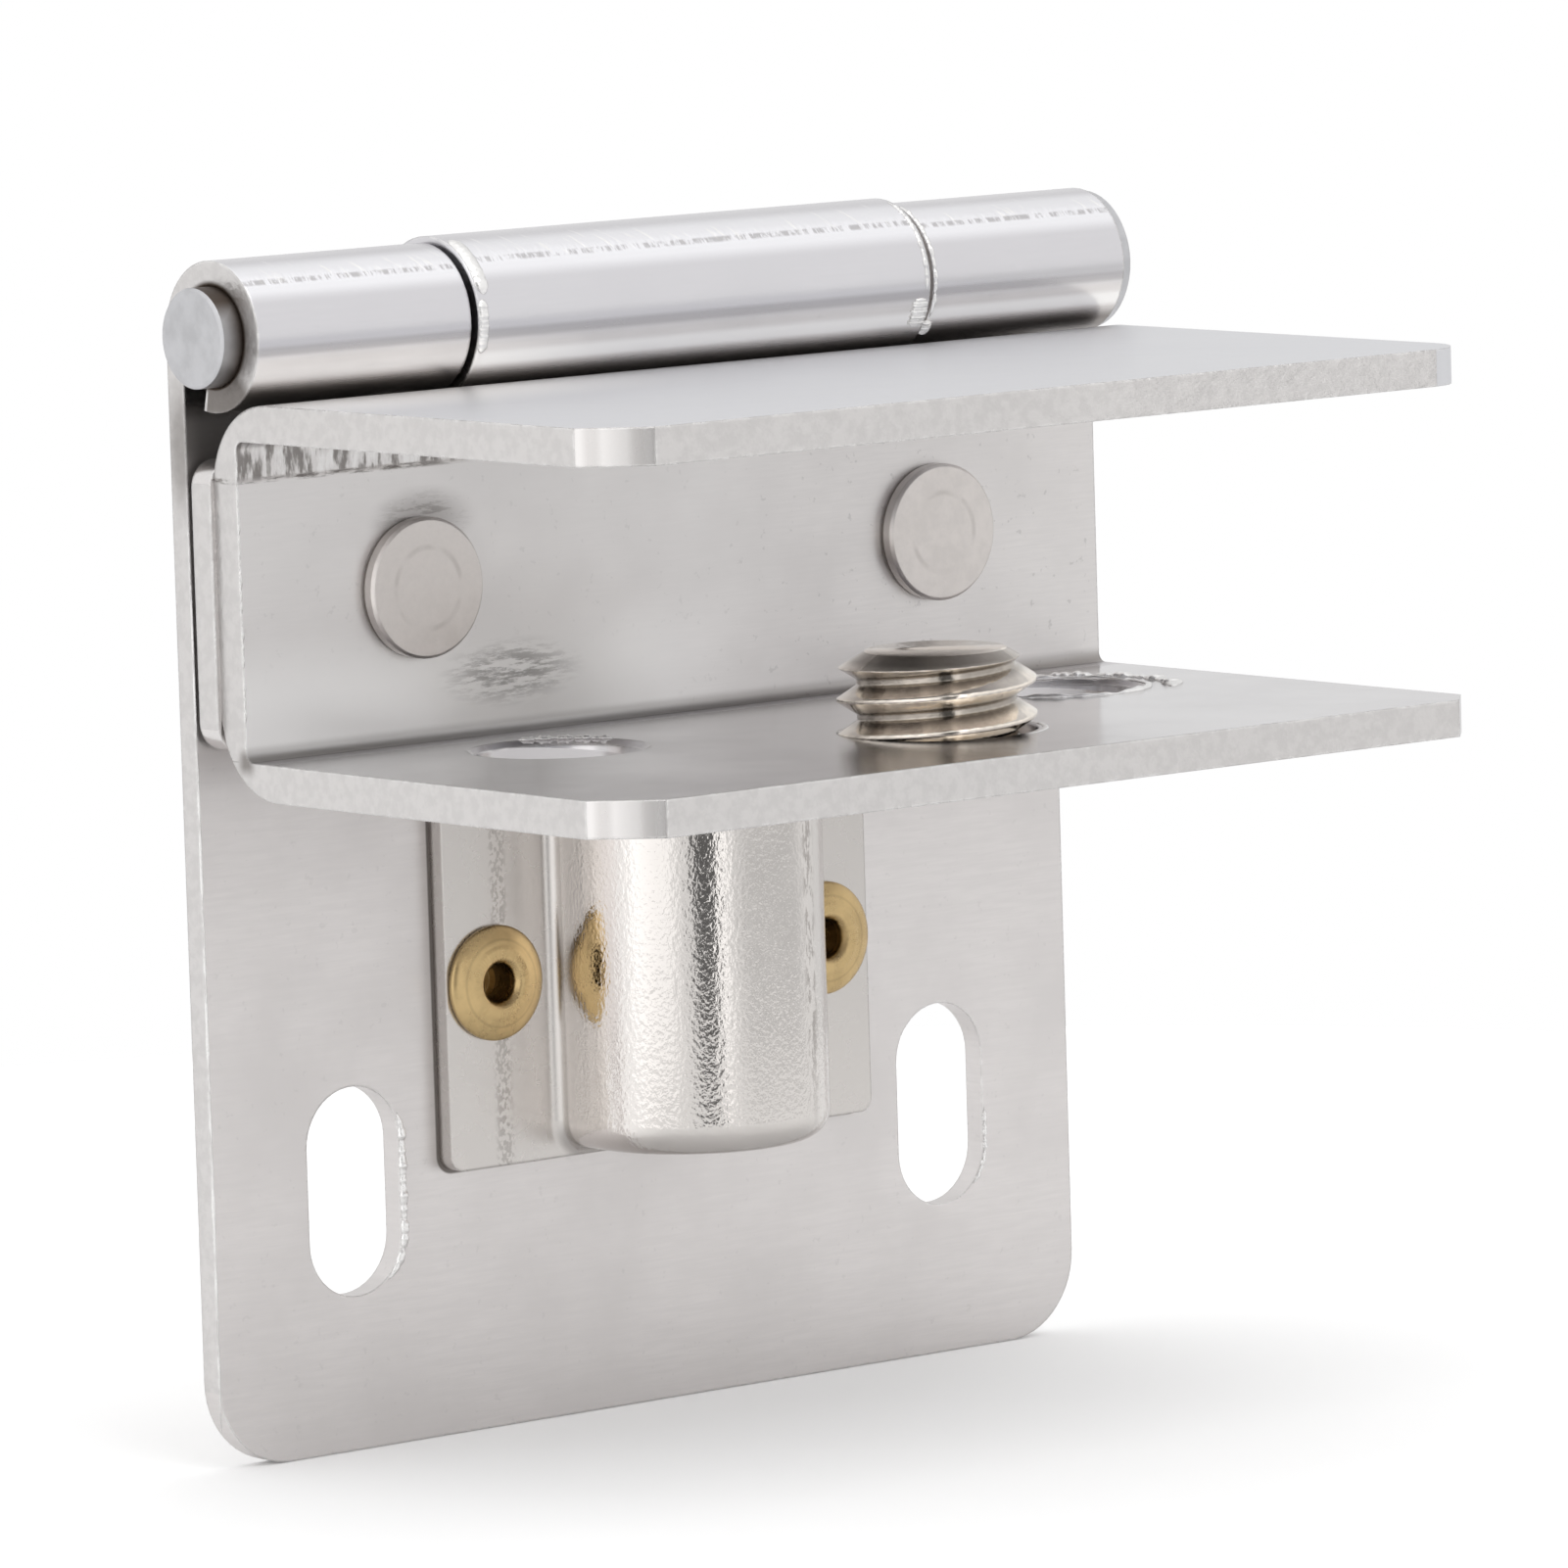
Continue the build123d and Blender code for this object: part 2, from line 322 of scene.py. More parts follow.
def less(tree, value, limit):
    """1 where a value is under a limit."""
    return maths(tree, "LESS_THAN", value, limit)


def either(tree, *shares):
    """The largest of some shares."""
    result = shares[0]
    for share in shares[1:]:
        result = maths(tree, "MAXIMUM", result, share)
    return result


def both(tree, *shares):
    """The product of some shares."""
    result = shares[0]
    for share in shares[1:]:
        result = maths(tree, "MULTIPLY", result, share)
    return result


def tone_between(tree, share, first, second):
    """Colour between two others, each a triple or a socket."""
    node = tree.nodes.new("ShaderNodeMix")
    node.data_type = "RGBA"
    factor, low, high = node.inputs[0], node.inputs[6], node.inputs[7]
    for value, socket in ((share, factor), (first, low), (second, high)):
        if isinstance(value, bpy.types.NodeSocket):
            tree.links.new(value, socket)
        else:
            socket.default_value = (*value, 1.0)
    return node.outputs[2]


def scaled(colour, share):
    """The same colour, lighter or darker."""
    return tuple(min(1.0, value * share) for value in colour)


def grain_noise(tree, place, cells, detail=3.0, roughness=0.6):
    """Noise with a number of cells to the metre, the same all ways or one each along X, Y and Z."""
    scale = cells if isinstance(cells, tuple) else (cells, cells, cells)
    mapping = add_node(tree, "ShaderNodeMapping", {"Vector": place, "Scale": scale})
    inputs = {"Vector": mapping.outputs[0], "Scale": 1.0, "Detail": detail, "Roughness": roughness}
    return add_node(tree, "ShaderNodeTexNoise", inputs).outputs["Fac"]


def spot(tree, place, centre, reach):
    """Soft patch, 1 at its centre and nothing at its reach along each axis."""
    inputs = {"Vector": place, "Location": centre, "Scale": reach}
    mapping = add_node(tree, "ShaderNodeMapping", inputs, vector_type="TEXTURE")
    length = add_node(tree, "ShaderNodeVectorMath", {0: mapping.outputs[0]}, operation="LENGTH")
    return ramp(tree, length.outputs["Value"], 0.2, 1.0, 1.0, 0.0)


def distance_from_axis(tree, first, second, centre):
    """Distance from a line that runs along the third axis: the root of two squares' sum."""
    one = maths(tree, "POWER", maths(tree, "SUBTRACT", first, centre[0]), 2.0)
    other = maths(tree, "POWER", maths(tree, "SUBTRACT", second, centre[1]), 2.0)
    return maths(tree, "SQRT", maths(tree, "ADD", one, other))


def turn_round_axis(tree, first, second, centre):
    """Angle round a line that runs along the third axis, in radians."""
    one = maths(tree, "SUBTRACT", first, centre[0])
    other = maths(tree, "SUBTRACT", second, centre[1])
    return maths(tree, "ARCTAN2", other, one)


def new_finish(name, metallic=1.0):
    """Empty material with its shader and the piece's own coordinates, whole and apart."""
    material = bpy.data.materials.new(name)
    material.use_nodes = True
    tree = material.node_tree
    tree.nodes.clear()
    output = add_node(tree, "ShaderNodeOutputMaterial")
    shader = add_node(tree, "ShaderNodeBsdfPrincipled", {"Metallic": metallic})
    tree.links.new(shader.outputs[0], output.inputs[0])
    place = add_node(tree, "ShaderNodeTexCoord").outputs["Object"]
    apart = add_node(tree, "ShaderNodeSeparateXYZ", {"Vector": place})
    return material, tree, shader, place, apart.outputs


def rounded_edges(tree, radius):
    """Normal that turns smoothly across the edges."""
    return add_node(tree, "ShaderNodeBevel", {"Radius": radius}, samples=4).outputs[0]


def edge_wear(tree, rounded, specks):
    """Rubbed edges: where the rounded normal leaves the face's own, broken up by specks."""
    own = add_node(tree, "ShaderNodeNewGeometry").outputs["Normal"]
    turned = add_node(tree, "ShaderNodeVectorMath", {0: rounded, 1: own}, operation="DOT_PRODUCT")
    return both(tree, ramp(tree, turned.outputs["Value"], 0.998, 0.92), specks)


def set_relief(tree, shader, normal, reliefs):
    """Adds one or more reliefs to a normal, each a height and its depth in metres."""
    for height, depth in reliefs:
        inputs = {"Height": height, "Strength": 1.0, "Distance": depth, "Normal": normal}
        normal = add_node(tree, "ShaderNodeBump", inputs).outputs[0]
    tree.links.new(normal, shader.inputs["Normal"])


def worn_sheet(name, grain, sheared, stains_and_shade, roughness, own_tone, reliefs, tint=nickel, pit_share=0.4):
    """Satin nickel over steel sheet.

    The faces are brushed along the grain and clouded; the sheared ends are paler, with streaks across
    the sheet; soiling and painted shade darken the tone towards dark brown. The sheared and stained
    shares are functions that take the node tree and its coordinates, and so are the extra reliefs and
    the piece's own tone, which paints highlights on some pieces.
    """
    material, tree, shader, place, axes = new_finish(name)
    brushed = grain_noise(tree, place, grain)
    cloud = grain_noise(tree, place, sheet_clouds, detail=4.0)
    pits = grain_noise(tree, place, sheet_pits, detail=2.0)
    torn = grain_noise(tree, place, sheared_grain, detail=4.0)
    ends = sheared(tree, place, axes)
    # Soiling together with painted shade, as one share
    dirt_and_shade = stains_and_shade(tree, place, axes)
    face = tone_between(tree, ramp(tree, brushed, 0.25, 0.75), scaled(tint, 0.97), scaled(tint, 1.03))
    face = tone_between(tree, ramp(tree, cloud, 0.35, 0.75), face, scaled(tint, 0.94))
    face = tone_between(tree, ramp(tree, pits, 0.66, 0.74, 0.0, pit_share), face, scaled(tint, 0.6))
    face = own_tone(tree, place, axes, face)
    edge = tone_between(tree, ramp(tree, torn, 0.38, 0.62), scaled(sheared_nickel, 0.93), sheared_nickel)
    rounded = rounded_edges(tree, sheet_edge)
    rubbed = edge_wear(tree, rounded, ramp(tree, torn, 0.42, 0.6, 0.25, 1.0))
    tone = tone_between(tree, ends, face, edge)
    tone = tone_between(tree, rubbed, tone, rubbed_nickel)
    tone = tone_between(tree, dirt_and_shade, tone, grime_and_shade)
    tree.links.new(tone, shader.inputs["Base Color"])
    shine = between(tree, ends, roughness(tree, axes), sheared_roughness)
    shine = maths(tree, "ADD", shine, ramp(tree, cloud, 0.3, 0.8, -0.02, 0.05))
    shine = maths(tree, "ADD", shine, maths(tree, "MULTIPLY", dirt_and_shade, 0.2))
    shine = between(tree, rubbed, shine, rubbed_roughness)
    tree.links.new(shine, shader.inputs["Roughness"])
    fine = maths(tree, "MULTIPLY", brushed, maths(tree, "SUBTRACT", 1.0, ends))
    rough = maths(tree, "MULTIPLY", torn, ends)
    all_reliefs = [(fine, brushed_depth), (rough, torn_depth)]
    all_reliefs += [(relief(tree, place, axes), depth) for relief, depth in reliefs]
    set_relief(tree, shader, rounded, all_reliefs)
    return material


def plain_metal(name, colour, roughness, cells, depth, spread=0.05, marks=None):
    """Metal with one grain: a mottled tone, a varied shine, a light relief and any marks, of soiling or
    painted shade, in dark brown.
    """
    material, tree, shader, place, axes = new_finish(name)
    grain = grain_noise(tree, place, cells, detail=4.0)
    share = ramp(tree, grain, 0.3, 0.7)
    tone = tone_between(tree, share, scaled(colour, 1 - spread), scaled(colour, 1 + spread))
    if marks:
        tone = tone_between(tree, marks(tree, place, axes), tone, grime_and_shade)
    tree.links.new(tone, shader.inputs["Base Color"])
    shine = ramp(tree, grain, 0.3, 0.7, roughness - 0.04, roughness + 0.05)
    tree.links.new(shine, shader.inputs["Roughness"])
    set_relief(tree, shader, rounded_edges(tree, small_edge), [(grain, depth)])
    return material


plate_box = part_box("base_plate")
leaf_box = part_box("hinge_leaf")
clamp_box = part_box("glass_clamp")
pin_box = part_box("hinge_pin")
screw_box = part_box("set_screw")
housing_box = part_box("catch_housing")
pin_axis = ((pin_box[0][1] + pin_box[1][1]) / 2, (pin_box[0][2] + pin_box[1][2]) / 2)
plate_half = plate_box[1][0]
knuckle_radius = plate_box[1][2] - pin_axis[1]
barrel_radius = leaf_box[1][2] - pin_axis[1]
clamp_half = clamp_box[1][0]
clamp_front = clamp_box[0][1]
clamp_foot = clamp_box[0][2]
clamp_top = clamp_box[1][2]
screw_axis = ((screw_box[0][0] + screw_box[1][0]) / 2, (screw_box[0][1] + screw_box[1][1]) / 2)
web_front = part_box("clamp_rivet_left")[0][1] + clamp_rivet_head
clamp_floor = clamp_foot + clamp_sheet
clamp_ceiling = clamp_top - clamp_sheet
tapped_places = [(screw_axis[0] + side * tapped_spacing, -tapped_back) for side in (-1, 1)]

# Patches of dirt: each one's middle, and its reach along X, Y and Z
side_dirt = ((-plate_half, -0.0007, 0.0305), (0.004, 0.0012, 0.0035))
web_smudge = ((-0.0090, web_front, 0.0206), (0.0042, 0.001, 0.0016))
rivet_halo = ((-0.0132, web_front, 0.0271), (0.0030, 0.001, 0.0015))


def knuckle_angle(tree, axes):
    """Angle round the pin in degrees: 0 straight in front, 90 at the top, below 0 under the front."""
    forward = maths(tree, "SUBTRACT", pin_axis[0], axes["Y"])
    upward = maths(tree, "SUBTRACT", axes["Z"], pin_axis[1])
    return maths(tree, "MULTIPLY", maths(tree, "ARCTAN2", upward, forward), 180 / math.pi)


def rolled_area(tree, axes):
    """1 on the knuckles, and nothing below them."""
    foot = pin_axis[1] - barrel_radius
    return ramp(tree, axes["Z"], foot - 0.0005, foot + 0.0005)


def nick_marks(tree, place):
    """Fine short nicks across the knuckles."""
    return grain_noise(tree, place, nick_cells, detail=4.0, roughness=0.7)


def rolling_marks_and_shade(tree, place, axes):
    """Broken line of nicks along the top of the knuckles, a dull line and painted shade low on their front,
    under the knuckles.
    """
    angle = knuckle_angle(tree, axes)
    line = both(tree, band(tree, angle, *nick_line), ramp(tree, nick_marks(tree, place), 0.42, 0.56), 0.42)
    dull = band(tree, angle, *dull_line)
    # Painted shade under the knuckles, in the gap over the flange
    low = both(tree, ramp(tree, angle, shade_starts, shade_is_full), greater(tree, angle, curl_back), 0.72)
    return both(tree, either(tree, line, dull, low), rolled_area(tree, axes))


def knuckle_tone_and_highlights(tree, place, axes, face):
    """Cooler knuckles with a painted highlight on top, fine slanted scratches on it and a painted highlight
    line low in front.
    """
    angle = knuckle_angle(tree, axes)
    area = rolled_area(tree, axes)
    slanted = maths(tree, "MULTIPLY_ADD", angle, 0.08, maths(tree, "MULTIPLY", axes["X"], 3500.0))
    around = maths(tree, "MULTIPLY", angle, 0.03)
    unrolled = add_node(tree, "ShaderNodeCombineXYZ", {"X": slanted, "Y": around})
    fine = grain_noise(tree, unrolled.outputs[0], 1)
    scratches = both(tree, ramp(tree, fine, 0.58, 0.66), band(tree, angle, *scratched_top), 0.75)
    right_of_seam = ramp(tree, axes["X"], -seam_place - 0.0005, -seam_place + 0.0005, 0.1, 0.75)
    # Painted highlight line low in front
    low = both(tree, band(tree, angle, *low_highlight_line), right_of_seam)
    tone = tone_between(tree, both(tree, area, ramp(tree, angle, -20, -8, 0.0, 0.7)), face, knuckle_tint)
    # Painted highlight over the knuckles' top
    tone = tone_between(tree, both(tree, area, band(tree, angle, *highlight_top)), tone, knuckle_top_highlight)
    return tone_between(tree, both(tree, either(tree, scratches, low), area), tone, scratch_and_highlight_nickel)


def nick_relief(tree, place, axes):
    """Depth of the nicks, in a band a little wider than their line."""
    angle = knuckle_angle(tree, axes)
    return both(tree, nick_marks(tree, place), band(tree, angle, *nick_ground), rolled_area(tree, axes))


def plate_ends(tree, place, axes):
    """Sheared sides and foot of the base plate, its slots' walls left out."""
    side = greater(tree, maths(tree, "ABSOLUTE", axes["X"]), plate_half - hair)
    return either(tree, side, less(tree, axes["Z"], plate_box[0][2] + hair))


def plate_stains_and_shade(tree, place, axes):
    """Marks and painted shade on the knuckles, painted shade round the pin's end, soiling high on the left
    side, a painted shadow line round the housing and a dark line beside the seam.

    The distance outside the housing is that from a box with rounded corners: the length of what
    reaches past the box less its corners' radius, minus that radius.
    """
    # Painted shade on the knuckle's end round the pin, in the gap beside it
    near_pin = distance_from_axis(tree, axes["Y"], axes["Z"], pin_axis)
    pin_gap_shade = ramp(tree, near_pin, pin_radius + 0.0003, pin_radius + 0.00005)
    ring = both(tree, pin_gap_shade, rolled_area(tree, axes))
    side = maths(tree, "MULTIPLY", spot(tree, place, *side_dirt), 0.45)
    beyond_side = maths(tree, "SUBTRACT", maths(tree, "ABSOLUTE", axes["X"]), housing_box[1][0])
    beyond_foot = maths(tree, "SUBTRACT", housing_box[0][2], axes["Z"])
    side_reach = maths(tree, "MAXIMUM", maths(tree, "ADD", beyond_side, flange_corner), 0.0)
    foot_reach = maths(tree, "MAXIMUM", maths(tree, "ADD", beyond_foot, flange_corner), 0.0)
    past_corner = distance_from_axis(tree, side_reach, foot_reach, (0, 0))
    outside = maths(tree, "SUBTRACT", past_corner, flange_corner)
    # Painted shadow line on the plate round the housing's flanges
    edge = band(tree, outside, 0.00005, 0.00006, 0.0001, 0.75)
    housing_shadow_line = both(tree, edge, less(tree, axes["Y"], plate_skin), less(tree, axes["Z"], housing_box[1][2]))
    beside_seam = band(tree, axes["X"], seam_place + 0.00030, 0.00010, 0.00008, 0.8)
    seam = both(tree, beside_seam, rolled_area(tree, axes))
    return either(tree, rolling_marks_and_shade(tree, place, axes), ring, side, housing_shadow_line, seam)


def plate_shine(tree, axes):
    """Matt plate, smoother knuckles."""
    return between(tree, rolled_area(tree, axes), plate_roughness, knuckle_roughness)


def leaf_ends(tree, place, axes):
    """Sheared ends of the leaf's strip."""
    return greater(tree, maths(tree, "ABSOLUTE", axes["X"]), leaf_box[1][0] - hair)


def leaf_shine(tree, axes):
    """Smooth knuckle and strip, the same all over."""
    return leaf_roughness


def on_left_crops(tree, axes):
    """Share of the two cropped corners at the left, and the distance along them from their middle."""
    across = maths(tree, "SUBTRACT", maths(tree, "ADD", axes["X"], clamp_half), cropped_corner / 2)
    along = maths(tree, "SUBTRACT", maths(tree, "SUBTRACT", axes["Y"], clamp_front), cropped_corner / 2)
    outward = maths(tree, "ADD", across, along)
    share = both(tree, less(tree, outward, hair), less(tree, axes["X"], -clamp_half + cropped_corner + hair))
    return share, maths(tree, "MULTIPLY", maths(tree, "SUBTRACT", across, along), math.sqrt(0.5))


def clamp_ends(tree, place, axes):
    """Sheared ends and front edges of the channel."""
    side = greater(tree, maths(tree, "ABSOLUTE", axes["X"]), clamp_half - hair)
    front = less(tree, axes["Y"], clamp_front + hair)
    return either(tree, side, front)


def fold_noise(tree, place):
    """Noise of the crumpled folds, upright strips beside the bend."""
    return grain_noise(tree, place, crumple_cells, detail=4.0)


def root_folds(tree, axes):
    """Share of the crumpled strip: high on the web, next to the left end."""
    start, full = strip_edge
    high = ramp(tree, axes["Z"], clamp_ceiling - start, clamp_ceiling - full)
    left = ramp(tree, axes["X"], *strip_reach)
    on_web = both(tree, greater(tree, axes["Y"], web_front - bend_reach),
                  greater(tree, axes["X"], hair - clamp_half))
    return both(tree, high, left, on_web, less(tree, axes["Z"], clamp_ceiling + hair))


def clamp_stains_and_shade(tree, place, axes):
    """Smudge beside the left rivet and soiling over its head, painted shade in the channel's corners and in
    the creases of the crumpled strip, and a broken dark line at the strip's foot.
    """
    smear = grain_noise(tree, place, smear_cells, detail=5.0, roughness=0.75)
    broken = ramp(tree, smear, 0.42, 0.58)
    smudge = spot(tree, place, *web_smudge)
    halo = spot(tree, place, *rivet_halo)
    on_web = greater(tree, axes["Y"], web_front - hair)
    # Painted shade in the corner where the lower flange meets the web
    floor_root = band(tree, axes["Z"], clamp_floor, 0.0001, bend_reach)
    front_root = band(tree, axes["Y"], web_front, 0.0001, bend_reach)
    root = maths(tree, "MULTIPLY", both(tree, floor_root, front_root), 0.6)
    streaks = both(tree, either(tree, smudge, halo), broken, 0.55)
    film_on_halo = maths(tree, "MULTIPLY", halo, 0.35)
    patches = both(tree, either(tree, streaks, film_on_halo), on_web)
    # Painted shade in the creases of the crumpled strip
    creases = ramp(tree, fold_noise(tree, place), 0.46, 0.60)
    folds = both(tree, root_folds(tree, axes), creases, 0.62)
    strip_foot = band(tree, axes["Z"], clamp_ceiling - 0.0016, 0.00005, 0.00010)
    fold_line = both(tree, strip_foot, on_web, ramp(tree, axes["X"], -0.0100, -0.0140), broken, 0.7)
    on_floor = band(tree, axes["Z"], clamp_floor, hair, hair)
    film = both(tree, on_floor, ramp(tree, axes["X"], 0.012, -0.004), 0.26)
    crop, from_middle = on_left_crops(tree, axes)
    ends = band(tree, maths(tree, "ABSOLUTE", from_middle), 0.0009, 0.0001, 0.0004, 0.16)
    return either(tree, patches, root, folds, fold_line, film, both(tree, crop, ends))


def clamp_shine(tree, axes):
    """Satin upper flange and web, and a smoother lower flange."""
    on_web = ramp(tree, axes["Y"], web_front - 0.002, web_front - bend_reach)
    upper = greater(tree, axes["Z"], clamp_ceiling - hair)
    flanges = between(tree, upper, lower_flange_roughness, upper_flange_roughness)
    shine = between(tree, on_web, flanges, web_roughness)
    return between(tree, on_left_crops(tree, axes)[0], shine, crop_roughness)


def clamp_tone_and_light(tree, place, axes, face):
    """Cool upper flange, darker lower one, and painted light: the web paler towards the left, painted
    highlights low on the web and on the ridges of the crumpled strip, and a painted reflection on the upper
    flange by the knuckle.
    """
    cropped = on_left_crops(tree, axes)[0]
    uncropped = maths(tree, "SUBTRACT", 1.0, cropped)
    upper = both(tree, uncropped, greater(tree, axes["Z"], clamp_ceiling - hair))
    lower = both(tree, uncropped, less(tree, axes["Z"], clamp_floor + hair))
    on_web = both(tree, uncropped, maths(tree, "SUBTRACT", 1.0, upper), maths(tree, "SUBTRACT", 1.0, lower))
    tone = tone_between(tree, cropped, face, crop_nickel)
    tone = tone_between(tree, maths(tree, "MULTIPLY", upper, 0.75), tone, upper_flange_tint)
    tone = tone_between(tree, maths(tree, "MULTIPLY", lower, 0.7), tone, lower_flange_tint)
    # Painted light: the web paler towards the left
    lit_left_web = both(tree, on_web, ramp(tree, axes["X"], 0.008, 0.0, 0.0, 0.5))
    tone = tone_between(tree, lit_left_web, tone, web_painted_light)
    # Painted highlight low on the web
    web_foot_highlight = both(tree, on_web, ramp(tree, axes["Z"], clamp_floor + 0.0055, clamp_floor + 0.0020),
                    ramp(tree, axes["X"], 0.004, -0.006))
    # Painted reflection on the upper flange beside the knuckle
    near_knuckle = ramp(tree, axes["Y"], -0.014, -0.008)
    knuckle_reflection = both(tree, upper, near_knuckle, ramp(tree, axes["X"], -0.002, -0.014), 0.9)
    # Painted highlights on the ridges of the crumpled strip
    ridges = ramp(tree, fold_noise(tree, place), 0.46, 0.36)
    creases = both(tree, root_folds(tree, axes), ridges, 0.6)
    return tone_between(tree, either(tree, web_foot_highlight, knuckle_reflection, creases), tone, scratch_and_highlight_nickel)


def fracture(tree, place, axes):
    """Torn surface towards the right of the upper flange's front edge."""
    torn = grain_noise(tree, place, fracture_cells, detail=5.0, roughness=0.65)
    edge = both(tree, less(tree, axes["Y"], clamp_front + hair), greater(tree, axes["Z"], clamp_ceiling))
    return both(tree, torn, edge, ramp(tree, axes["X"], -0.004, 0.006))


def thread_relief(tree, place, axes):
    """Thread in the two side holes: a wave of height over pitch, shifted by the angle round the hole."""
    grooves = []
    for centre in tapped_places:
        away = distance_from_axis(tree, axes["X"], axes["Y"], centre)
        inside = less(tree, away, tapped_radius + 0.00004)
        turn = maths(tree, "DIVIDE", turn_round_axis(tree, axes["X"], axes["Y"], centre), 2 * math.pi)
        rise = maths(tree, "DIVIDE", axes["Z"], thread_pitch)
        wave = maths(tree, "PINGPONG", maths(tree, "SUBTRACT", rise, turn), 0.5)
        grooves.append(both(tree, wave, inside, less(tree, axes["Z"], clamp_floor + hair)))
    return maths(tree, "ADD", *grooves)


def root_wrinkles(tree, place, axes):
    """Crumpled band high on the web, next to the left end."""
    return both(tree, fold_noise(tree, place), root_folds(tree, axes))


def corner_roundness(tree, place, axes):
    """Bulge of the cropped corners at the left: minus the square of the distance from their middle."""
    share, from_middle = on_left_crops(tree, axes)
    bulge = maths(tree, "MULTIPLY", maths(tree, "POWER", from_middle, 2.0), crop_bulge)
    return both(tree, bulge, share)


def pin_shade(tree, place, axes):
    """Painted shade on the pin's side: light at its sawn end, dark over its top and where it enters the
    knuckle.
    """
    sawn_end = pin_box[0][0]
    side = greater(tree, axes["X"], sawn_end + 0.00012)
    inward = ramp(tree, axes["X"], sawn_end + 0.0002, -plate_half, 0.35, 0.9)
    over = ramp(tree, knuckle_angle(tree, axes), 5, 50, 0.0, 0.95)
    return both(tree, side, less(tree, axes["X"], plate_half), either(tree, inward, over))


def screw_root_shade(tree, place, axes):
    """Painted shade in the roots of the screw's thread and on its cone, darker further in from the crest."""
    crest = (screw_box[1][0] - screw_box[0][0]) / 2
    away = distance_from_axis(tree, axes["X"], axes["Y"], screw_axis)
    deep = ramp(tree, away, crest - 0.00025, crest - 0.0007, 0.0, 0.55)
    return both(tree, deep, less(tree, axes["Z"], screw_box[1][2] - 0.00006))


def rivet_finish_for(side):
    """Warm nickel rivet with the ring that the setting tool left."""
    low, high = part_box(f"clamp_rivet_{side}")
    centre = ((low[0] + high[0]) / 2, (low[2] + high[2]) / 2)
    radius = (high[0] - low[0]) / 2

    def ring(tree, place, axes):
        """Worn circle at about three fifths of the head, and a painted shade line at its foot, against the
        web.
        """
        away = distance_from_axis(tree, axes["X"], axes["Z"], centre)
        worn = ramp(tree, grain_noise(tree, place, 700), 0.4, 0.6)
        circle = both(tree, band(tree, away, radius * 0.58, 0.00002, 0.00016), worn, 0.18)
        # Painted shade at the foot of the head, against the web
        foot = both(tree, greater(tree, axes["Y"], web_front - 0.00012), 0.7)
        return either(tree, circle, foot)

    return plain_metal(f"rivet_nickel_{side}", clamp_rivet_tint, roughness=0.33, cells=1400,
                       depth=0.000006, marks=ring)


def pressed_nickel():
    """Bright nickel of the pressed housing.

    Its relief is an orange peel that is strong on the stretched cup and faint on the flanges; a broken
    brown streak runs down the cup, and a fainter one down the flanges at the left.
    """
    material, tree, shader, place, axes = new_finish("housing_nickel")
    peel = grain_noise(tree, place, peel_cells, detail=2.0, roughness=0.5)
    cloud = grain_noise(tree, place, 500)
    torn = grain_noise(tree, place, streak_cells, detail=5.0, roughness=0.7)
    on_cup = less(tree, axes["Y"], cup_root)
    mottle = ramp(tree, cloud, 0.3, 0.7)
    tone = tone_between(tree, mottle, scaled(pressed_tint, 0.98), scaled(pressed_tint, 1.02))
    # Painted highlight: the cup's left flank paler
    lit_flank = both(tree, ramp(tree, axes["X"], *flank_edge), on_cup)
    tone = tone_between(tree, lit_flank, tone, flank_highlight_tint)
    on_flanges = ramp(tree, axes["Y"], cup_root - root_width, cup_root + root_width)
    tone = tone_between(tree, on_flanges, tone, scaled(pressed_tint, 0.95))
    streak = both(tree, band(tree, axes["X"], cup_streak, 0.00012, 0.0005), ramp(tree, torn, 0.48, 0.56),
                  ramp(tree, axes["Z"], streak_foot, 0.006), on_cup)
    faint_streak = both(tree, band(tree, axes["X"], flange_streak, 0.0002, 0.0004),
                        ramp(tree, peel, 0.46, 0.56), greater(tree, axes["Y"], cup_root))
    marks = either(tree, maths(tree, "MULTIPLY", streak, 0.45), maths(tree, "MULTIPLY", faint_streak, 0.3))
    tone = tone_between(tree, marks, tone, grime_and_shade)
    tree.links.new(tone, shader.inputs["Base Color"])
    shine = ramp(tree, axes["Y"], cup_root, cup_root - 0.001, flange_roughness, cup_roughness)
    shine = maths(tree, "ADD", shine, ramp(tree, cloud, 0.3, 0.7, -0.02, 0.02))
    tree.links.new(shine, shader.inputs["Roughness"])
    stretched = ramp(tree, axes["Y"], cup_root, cup_root - 0.0015, 0.10, 1.0)
    height = maths(tree, "MULTIPLY", peel, stretched)
    set_relief(tree, shader, rounded_edges(tree, pressed_edge), [(height, peel_depth)])
    return material


def dress(node, material):
    """Gives every material slot of a solid the same finish."""
    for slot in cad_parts[node].material_slots:
        slot.material = material


def surface_piece(name, points, material, smooth_angle=35):
    """Mesh of a grid of points, rows by columns, closed round its columns and at its two ends."""
    rows, columns = points.shape[:2]
    here = np.arange(rows * columns).reshape(rows, columns)
    beside = np.roll(here, -1, axis=1)
    quads = np.stack((here[:-1], beside[:-1], beside[1:], here[1:]), axis=-1).reshape(-1, 4)
    mesh = bpy.data.meshes.new(name)
    mesh.from_pydata(points.reshape(-1, 3), [], quads)
    work = bmesh.new()
    work.from_mesh(mesh)
    bmesh.ops.remove_doubles(work, verts=work.verts, dist=1e-7)
    bmesh.ops.recalc_face_normals(work, faces=work.faces)
    work.to_mesh(mesh)
    work.free()
    mesh.shade_smooth()
    mesh.set_sharp_from_angle(angle=math.radians(smooth_angle))
    mesh.materials.append(material)
    piece = bpy.data.objects.new(name, mesh)
    bpy.context.collection.objects.link(piece)
    return piece


